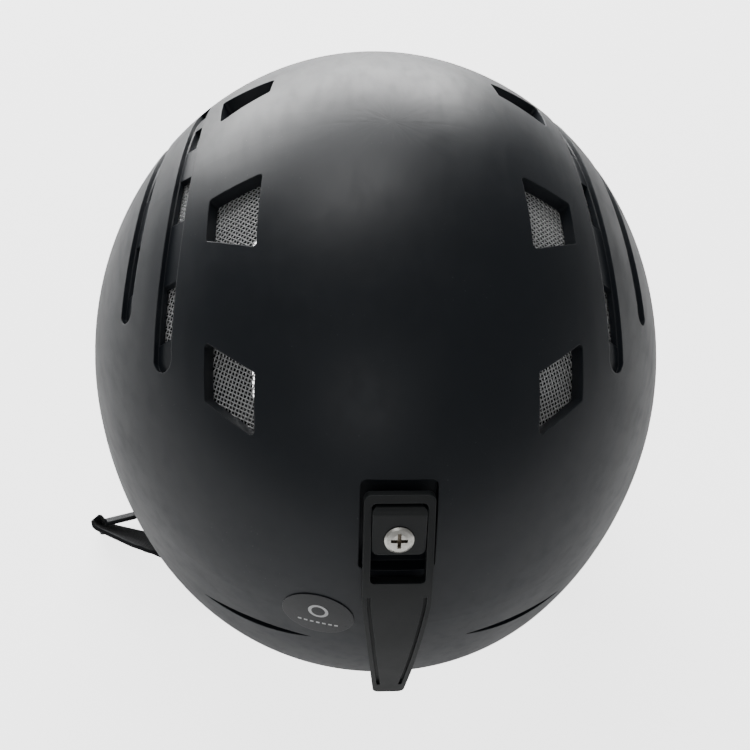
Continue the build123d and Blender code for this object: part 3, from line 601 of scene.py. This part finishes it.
def swell(pads):
    """Cloth under pressure: a pad swells no further than its cap, nor over half-way to its neighbours."""
    starts = {}
    for pad in pads:
        obj = pad["obj"]
        starts[obj.name] = [v.co.copy() for v in obj.data.vertices]
        cloth = obj.modifiers.new("swell", "CLOTH")
        cloth.settings.use_pressure = True
        cloth.settings.uniform_pressure_force = pad["pressure"]
        cloth.settings.effector_weights.gravity = 0
        cloth.settings.quality = 4
    for step in range(1, cloth_frames + 1):
        bpy.context.scene.frame_set(step)
    graph = bpy.context.evaluated_depsgraph_get()
    for pad in pads:
        obj = pad["obj"]
        after = [v.co.copy() for v in obj.evaluated_get(graph).data.vertices]
        obj.modifiers.clear()
        neighbours = [node_surface(name) for name in pad["beside"]]
        for vertex, start, end in zip(obj.data.vertices, starts[obj.name], after):
            move = end - start
            room = pad["cap"]
            for neighbour in neighbours:
                distance = neighbour.find_nearest(start)[3]
                room = min(room, max(0.0, distance / 2 - pad_gap))
            if move.length > room:
                move *= room / move.length
            vertex.co = start + move
    bpy.context.scene.frame_set(1)


def inset_of(flat_points, outline):
    """How far inside a flat outline each point is."""
    best = np.full(len(flat_points), 1.0)
    for a, b in zip(outline, np.roll(outline, -1, axis=0)):
        run = b - a
        share = np.clip(((flat_points - a) @ run) / max(run @ run, 1e-12), 0, 1)
        best = np.minimum(best, np.linalg.norm(flat_points - a - share[:, None] * run, axis=1))
    return best


def inset_loop(outline, inset, spacing):
    """Evenly spaced points round a flat outline, drawn in by inset."""
    centre = outline.mean(axis=0)
    runs = np.roll(outline, -1, axis=0) - outline
    lengths = np.maximum(np.linalg.norm(runs, axis=1), 1e-9)[:, None]
    outward = np.stack((runs[:, 1], -runs[:, 0]), axis=1) / lengths
    distances = ((outline - centre) * outward).sum(axis=1)
    turned = np.where(distances < 0, -1.0, 1.0)[:, None]
    outward, distances = outward * turned, np.abs(distances)
    points = []
    for turn in np.linspace(0, 2 * math.pi, outline_rays, endpoint=False):
        ray = np.array((math.cos(turn), math.sin(turn)))
        towards = outward @ ray
        reach = ((distances - inset)[towards > 0.05] / towards[towards > 0.05]).min()
        points.append(centre + ray * max(reach, 0.0))
    points.append(points[0])
    travelled = np.concatenate(([0.0], np.cumsum(np.linalg.norm(np.diff(points, axis=0), axis=1))))
    count = max(8, round(travelled[-1] / spacing))
    places = np.linspace(0, travelled[-1], count + 1)
    return list(np.stack([np.interp(places, travelled, column) for column in np.transpose(points)], axis=1))


def quilt(pad):
    """Sewn channels on the pad's face, with stitches lying in them."""
    obj, face = pad["obj"], pad["face"].normalized()
    u, v = plane_axes(face, pad["lean"])
    data = obj.data
    co = np.empty(len(data.vertices) * 3)
    data.vertices.foreach_get("co", co)
    co = co.reshape(-1, 3)
    normals = np.array([vertex.normal for vertex in data.vertices])
    flat_points = np.stack((co @ np.array(u), co @ np.array(v)), axis=1)
    hull = convex_hull_2d([tuple(point) for point in flat_points])
    outline = flat_points[hull]
    rib_lines = [outline.mean(axis=0)[0] + place for place in pad["ribs"]]
    inset = inset_of(flat_points, outline)
    off_line = np.abs(inset - pad["border"])
    for across in rib_lines:
        rib = np.abs(flat_points[:, 0] - across)
        off_line = np.minimum(off_line, np.where(inset > pad["border"], rib, 1.0))
    facing = np.clip((normals @ np.array(face)) * 2.0, 0, 1)
    depth = channel_depth * np.exp(-((off_line / channel_width) ** 2)) * facing
    co -= normals * depth[:, None]
    data.vertices.foreach_set("co", co.ravel())
    data.update()
    target = surface(obj)
    vertices, faces = [], []
    spacing = stitch_length + stitch_gap
    rows = [inset_loop(outline, pad["border"], spacing)]
    span = outline[:, 1].min(), outline[:, 1].max()
    for across in rib_lines:
        row = [np.array((across, along)) for along in np.arange(span[0], span[1], spacing)]
        rows.append([p for p in row if inset_of(p[None, :], outline)[0] > pad["border"]])
    middle = face * float((co @ np.array(face)).mean())
    for row in rows:
        for first, second in zip(row, row[1:]):
            path = []
            for share in (0.0, 0.25, 0.5, 0.75, 1.0):
                place = first + (second - first) * share * stitch_length / spacing
                start = middle + u * float(place[0]) + v * float(place[1]) + face * above_pad
                hit, normal = target.ray_cast(start, -face, 2 * above_pad)[:2]
                if hit is None:
                    break
                path.append(hit + normal * stitch_radius * (0.9 if 0.0 < share < 1.0 else -0.6))
            if len(path) == 5:
                add_tube(vertices, faces, path, stitch_radius, stitch_corners, face)
    stitches = mesh_object(obj.name.replace("_fabric", "_stitches"), vertices, faces, sewing)
    place_piece(stitches, "helmet", pad["slot"])


def pad_settings(
    name, face, lean, beside, slot="pad_fabric",
    voxel=1.7, pressure=6.0, cap=1.6, fill=0.6, border=5.0, ribs=(),
):
    """How one pad is made; lengths in millimetres, ribs counted from its middle along lean."""
    return {
        "node": name, "face": Vector(face), "lean": Vector(lean), "beside": beside, "slot": slot,
        "voxel": voxel * mm, "pressure": pressure, "cap": cap * mm, "fill": fill, "border": border * mm,
        "ribs": [rib * mm for rib in ribs],
    }


small_pad = {"voxel": 1.4, "cap": 1.2}
across_head, along_head = (1, 0, 0), (0, 1, 0)
pads = [
    pad_settings(
        "crown_pad", (0, 0, -1), across_head, ["eps_liner", "side_pad_left", "side_pad_right"],
        ribs=(-13, 13),
    ),
    pad_settings("brow_pad", (0, 1, -0.25), across_head, ["eps_liner"], ribs=(-32, -11, 11, 32)),
    pad_settings("rear_pad", (0, -1, -0.2), across_head, ["eps_liner"], ribs=(-24, 0, 24)),
    pad_settings(
        "nape_pad", (0, -1, 0), across_head, ["nape_cradle"], ribs=(-15, 15), border=2.6, **small_pad,
    ),
    pad_settings("chin_pad", (0, 0, 1), across_head, ["chin_strap_right"], border=3.0, **small_pad),
]
for side, out in zip(sides, (1, -1)):
    lining, pad = f"ear_lining_{side}", f"ear_pad_{side}"
    legs = [f"front_strap_{side}", f"rear_strap_{side}", f"strap_divider_{side}", f"chin_strap_{side}"]
    pads += [
        pad_settings(f"side_pad_{side}", (-out, 0, -0.2), along_head, ["eps_liner"], ribs=(-14, 0, 14)),
        pad_settings(
            lining, (-out, 0, 0), along_head, [pad, "eps_liner", f"headband_{side}"], fill=0.7, border=4.0,
        ),
        pad_settings(
            pad, (out, 0, 0), (0, 0, 1), [lining, "eps_liner", "outer_shell", *legs], "ear_fabric",
            voxel=2.6, pressure=8.0, cap=2.4, fill=0.8, border=7.0, ribs=(2,),
        ),
    ]
for pad in pads:
    pad["obj"] = soft_copy(pad["node"], pad["voxel"], pad_shrink)
swell(pads)
for pad in pads:
    finer = pad["obj"].modifiers.new("finer", "SUBSURF")
    finer.levels = finer.render_levels = 1
    apply_modifiers(pad["obj"])
    pad["obj"].data.materials.append(finishes[pad["slot"]])
    shade_smooth(pad["obj"].data)
    quilt(pad)
    place_piece(pad["obj"], "helmet", pad["slot"], pad["node"])

# ---- straps and headband: flat bands along their routes ----
webbing_wall = 1.6
webbing_width = 15.0
corner_steps = 8
corner_share = 0.48
ribbon_spacing = 2.0
box_length = 9.0
box_half_width = 4.6
box_pitch = 2.2
box_thread_radius = 0.24
box_thread_lifts = (-0.12, 0.1, 0.1, -0.12)


def rounded_route(points, leans, radius, spacing):
    """Places and width directions along a route whose corners are turned into short curves."""
    route = []
    last = len(points) - 1
    for index, (point, lean) in enumerate(zip(points, leans)):
        if index in (0, last):
            route.append((point, lean))
            continue
        before, after = points[index - 1] - point, points[index + 1] - point
        cut = min(radius, corner_share * before.length, corner_share * after.length)
        start, end = point + before.normalized() * cut, point + after.normalized() * cut
        for step in range(corner_steps + 1):
            t = step / corner_steps
            place = start * (1 - t) ** 2 + point * 2 * t * (1 - t) + end * t**2
            blend = 0.5 * cut * ((1 - t) / before.length, t / after.length)[t > 0.5]
            other = leans[index - 1] if t <= 0.5 else leans[index + 1]
            route.append((place, lean.lerp(other, blend)))
    full = [route[0]]
    for (a, lean_a), (b, lean_b) in zip(route, route[1:]):
        count = max(1, round((b - a).length / spacing))
        for step in range(1, count + 1):
            full.append((a.lerp(b, step / count), lean_a.lerp(lean_b, step / count)))
    return full


def ribbon(name, points, leans, wall, width, finish, radius, edge=0.9):
    """A flat band with rounded, slightly thicker edges; sizes in millimetres, as in the points."""
    points = [Vector(p) * mm for p in points]
    leans = [Vector(lean).normalized() for lean in leans]
    route = rounded_route(points, leans, radius * mm, ribbon_spacing * mm)
    half_wall, half = wall / 2 * mm, width / 2 * mm
    rim = edge * mm
    upper = [
        (-half, 0.0), (-half + 0.15 * rim, 0.8 * half_wall), (-half + 0.6 * rim, 1.12 * half_wall),
        (-half + 1.5 * rim, 0.94 * half_wall), (-half / 3, half_wall), (half / 3, half_wall),
        (half - 1.5 * rim, 0.94 * half_wall), (half - 0.6 * rim, 1.12 * half_wall),
        (half - 0.15 * rim, 0.8 * half_wall),
    ]
    section = upper + [(-across, -over) for across, over in upper]
    vertices, uvs, faces = [], [], []
    travelled = 0.0
    last = len(route) - 1
    for index, (place, lean) in enumerate(route):
        run = (route[min(index + 1, last)][0] - route[max(index - 1, 0)][0]).normalized()
        side = (lean - run * run.dot(lean)).normalized()
        over = run.cross(side)
        if index:
            travelled += (place - route[index - 1][0]).length
        for across, lift in section:
            vertices.append(place + side * across + over * lift)
            uvs.append((across, travelled))
    count = len(section)
    for ring in range(last):
        for corner in range(count):
            a, b = ring * count + corner, ring * count + (corner + 1) % count
            faces.append((a, b, b + count, a + count))
    faces.append(tuple(range(count - 1, -1, -1)))
    faces.append(tuple(range(last * count, last * count + count)))
    return mesh_object(name, vertices, faces, finish, uvs), route


def box_stitch(name, route, start):
    """A sewn box with a cross on both of a strap's faces, start millimetres back from the route's end."""
    end, lean = route[-1]
    run = (end - route[-2][0]).normalized()
    side = (lean - run * run.dot(lean)).normalized()
    near, far = start, start + box_length
    left, right = -box_half_width, box_half_width
    corners = [(left, near), (right, near), (right, far), (left, far)]
    outline = zip(corners, corners[1:] + corners[:1])
    lines = [*outline, (corners[0], corners[2]), (corners[1], corners[3])]
    vertices, faces = [], []
    for over in (run.cross(side), side.cross(run)):
        for (across_a, back_a), (across_b, back_b) in lines:
            a = end + (side * across_a - run * back_a + over * webbing_wall / 2) * mm
            b = end + (side * across_b - run * back_b + over * webbing_wall / 2) * mm
            count = max(2, round((b - a).length / (box_pitch * mm)))
            for dash in range(count):
                ends = [a.lerp(b, (dash + share) / count) for share in (0.1, 0.3, 0.6, 0.8)]
                path = [p + over * lift * mm for p, lift in zip(ends, box_thread_lifts)]
                add_tube(vertices, faces, path, box_thread_radius * mm, stitch_corners, over)
    return mesh_object(name, vertices, faces, sewing)


def flipped(points):
    return [(-x, y, z) for x, y, z in points]


def middle_of(name):
    low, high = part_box(name)
    return (low + high) / 2 / mm


strap_x, divider_y, divider_z = middle_of("strap_divider_left")
divider_drop = (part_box("strap_divider_left")[1].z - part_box("strap_divider_left")[0].z) / 2 / mm
front_hold = middle_of("front_strap_anchor_left")
rear_hold = middle_of("rear_strap_anchor_left")
strap_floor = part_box("buckle_socket")[0].z / mm + webbing_wall / 2
buckle_y = middle_of("buckle_tongue").y
leg_routes = {
    "front_strap": [(strap_x, front_hold.y, front_hold.z - 2), (strap_x, divider_y - 11, divider_z + 1)],
    "rear_strap": [
        (rear_hold.x, rear_hold.y, rear_hold.z - 2), (strap_x - 4, rear_hold.y - 7, rear_hold.z - 20),
        (strap_x, divider_y + 11, divider_z + 1),
    ],
}
leg_leans = {"front_strap": (0, 1, 0.4), "rear_strap": (0, 1, -0.8)}
leg_stitch_start = 11.0
chin_stitch_start = 4.0
for part, route in leg_routes.items():
    for side in sides:
        points = route if side == "left" else flipped(route)
        name = f"{part}_{side}"
        leg, leg_route = ribbon(
            name + "_webbing", points, [leg_leans[part]] * len(points), webbing_wall, webbing_width,
            finishes["webbing"], radius=14.0,
        )
        place_piece(leg, "helmet", "webbing", name)
        place_piece(box_stitch(name + "_stitches", leg_route, leg_stitch_start), "helmet", "webbing")

tilted = (0, 0.67, 0.74)
half_tilted = (0, 0.85, 0.52)
level = (0, 1, 0)
strap_exit = (strap_x, divider_y + 3, divider_z - divider_drop + 1)
strap_bend = (strap_x - 0.3, 20, -82.2)
fold_vertex = (112.0, 25.5, -82.2)
fold_root = (90.3, 34.3, -82.2)
half_flat = (70, 39, -83.6)
flat_start = (58, buckle_y, strap_floor)
flat_end = (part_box("buckle_tongue")[1].x / mm - 1.5, buckle_y, strap_floor)
chin_routes = {
    "left": (
        [strap_exit, strap_bend, fold_vertex, fold_root, half_flat, flat_start, flat_end],
        [tilted, tilted, tilted, half_tilted, level, level, level],
    ),
    "right": (
        flipped([strap_exit, strap_bend, fold_root, half_flat, flat_start, flat_end]),
        [tilted, tilted, half_tilted, level, level, level],
    ),
}
for side, (points, leans) in chin_routes.items():
    name = f"chin_strap_{side}"
    strap, strap_route = ribbon(
        name + "_webbing", points, leans, webbing_wall, webbing_width, finishes["webbing"], radius=4.0,
    )
    stitches = box_stitch(name + "_stitches", strap_route, chin_stitch_start)
    if side == "left":
        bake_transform(strap)
        place_piece(strap, None, "webbing", name)
        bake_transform(stitches)
        place_piece(stitches, None, "webbing")
    else:
        place_piece(strap, "helmet", "webbing", name)
        place_piece(stitches, "helmet", "webbing")

band_wall = 1.6
band_height = 11.0
band_gap = 0.3
end_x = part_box("rack_left")[1].x / mm + band_gap + band_wall
end_y = middle_of("rack_left").y
for side in sides:
    end_z = middle_of(f"rack_{side}").z
    points = [
        (72, -14, 0), (72, 10, -5), (68, 30, -12), (57.5, 49, -24), (46.5, 62, -40),
        (end_x + 4, end_y - 6, end_z + 4), (end_x, end_y, end_z),
    ]
    leans = [(0, 0.1, 1), (0, 0.2, 1), (0, 0.35, 1), (0, 0.45, 1), (0, 0.5, 1), (0, 0.45, 1), (0, 0.3, 1)]
    if side == "right":
        points = flipped(points)
    band_piece, _ = ribbon(
        f"headband_{side}_arm", points, leans, band_wall, band_height, finishes["fit_plastic"],
        radius=12.0, edge=0.6,
    )
    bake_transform(band_piece)
    place_piece(band_piece, None, "fit_plastic", f"headband_{side}")

# ---- floor, lights and camera ----
floor_gap = 0.2 * mm
floor_half = 8.0
floor_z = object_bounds()[0].z - floor_gap
floor_corners = [(x * floor_half, y * floor_half, floor_z) for x, y in ((-1, -1), (1, -1), (1, 1), (-1, 1))]
floor = mesh_object("floor", floor_corners, [(0, 1, 2, 3)], floor_paper())


def area_light(name, place, target, size, power):
    """A rectangular lamp; sizes in metres, power in watts."""
    data = bpy.data.lights.new(name, "AREA")
    data.shape = "RECTANGLE"
    data.size, data.size_y = size
    data.energy = power
    light = bpy.data.objects.new(name, data)
    bpy.context.scene.collection.objects.link(light)
    light.location = place
    light.rotation_mode = "QUATERNION"
    light.rotation_quaternion = (Vector(target) - Vector(place)).to_track_quat("-Z", "Y")


area_light("far_softbox", (0.25, -1.5, 0.42), (0, 0, 0.05), (1.8, 0.7), 46)
area_light("top_softbox", (0.3, -0.9, 1.7), (0, 0, 0), (1.2, 0.8), 12)
area_light("near_fill", (0.3, 1.5, 1.3), (0, 0, 0), (0.8, 0.8), 2.6)

world_light = 0.16
world_seen = 3.8
world = bpy.data.worlds.new("studio")
world.use_nodes = True
background = world.node_tree.nodes["Background"]
background.inputs["Color"].default_value = (1, 1, 1, 1)
seen = node(world.node_tree, "LightPath").outputs["Is Camera Ray"]
strength = ramp(world.node_tree, seen, 0.0, 1.0, world_light, world_seen)
world.node_tree.links.new(strength, background.inputs["Strength"])
bpy.context.scene.world = world

lens = bpy.data.cameras.new("camera")
lens.sensor_width = 36
lens.lens = 56.96
lens.shift_y = -0.0395
camera_place = (0.03071, 0.30441, 0.33491)
camera = bpy.data.objects.new("camera", lens)
bpy.context.scene.collection.objects.link(camera)
camera_right = Vector((-0.99770, 0.04405, 0.05144)).normalized()
camera_up = Vector((0.0020, -0.74008, 0.67251))
camera_back = camera_right.cross(camera_up).normalized()
camera_up = camera_back.cross(camera_right)
camera_turn = Matrix((camera_right, camera_up, camera_back)).transposed().to_4x4()
camera.matrix_world = Matrix.Translation(camera_place) @ camera_turn
bpy.context.scene.camera = camera
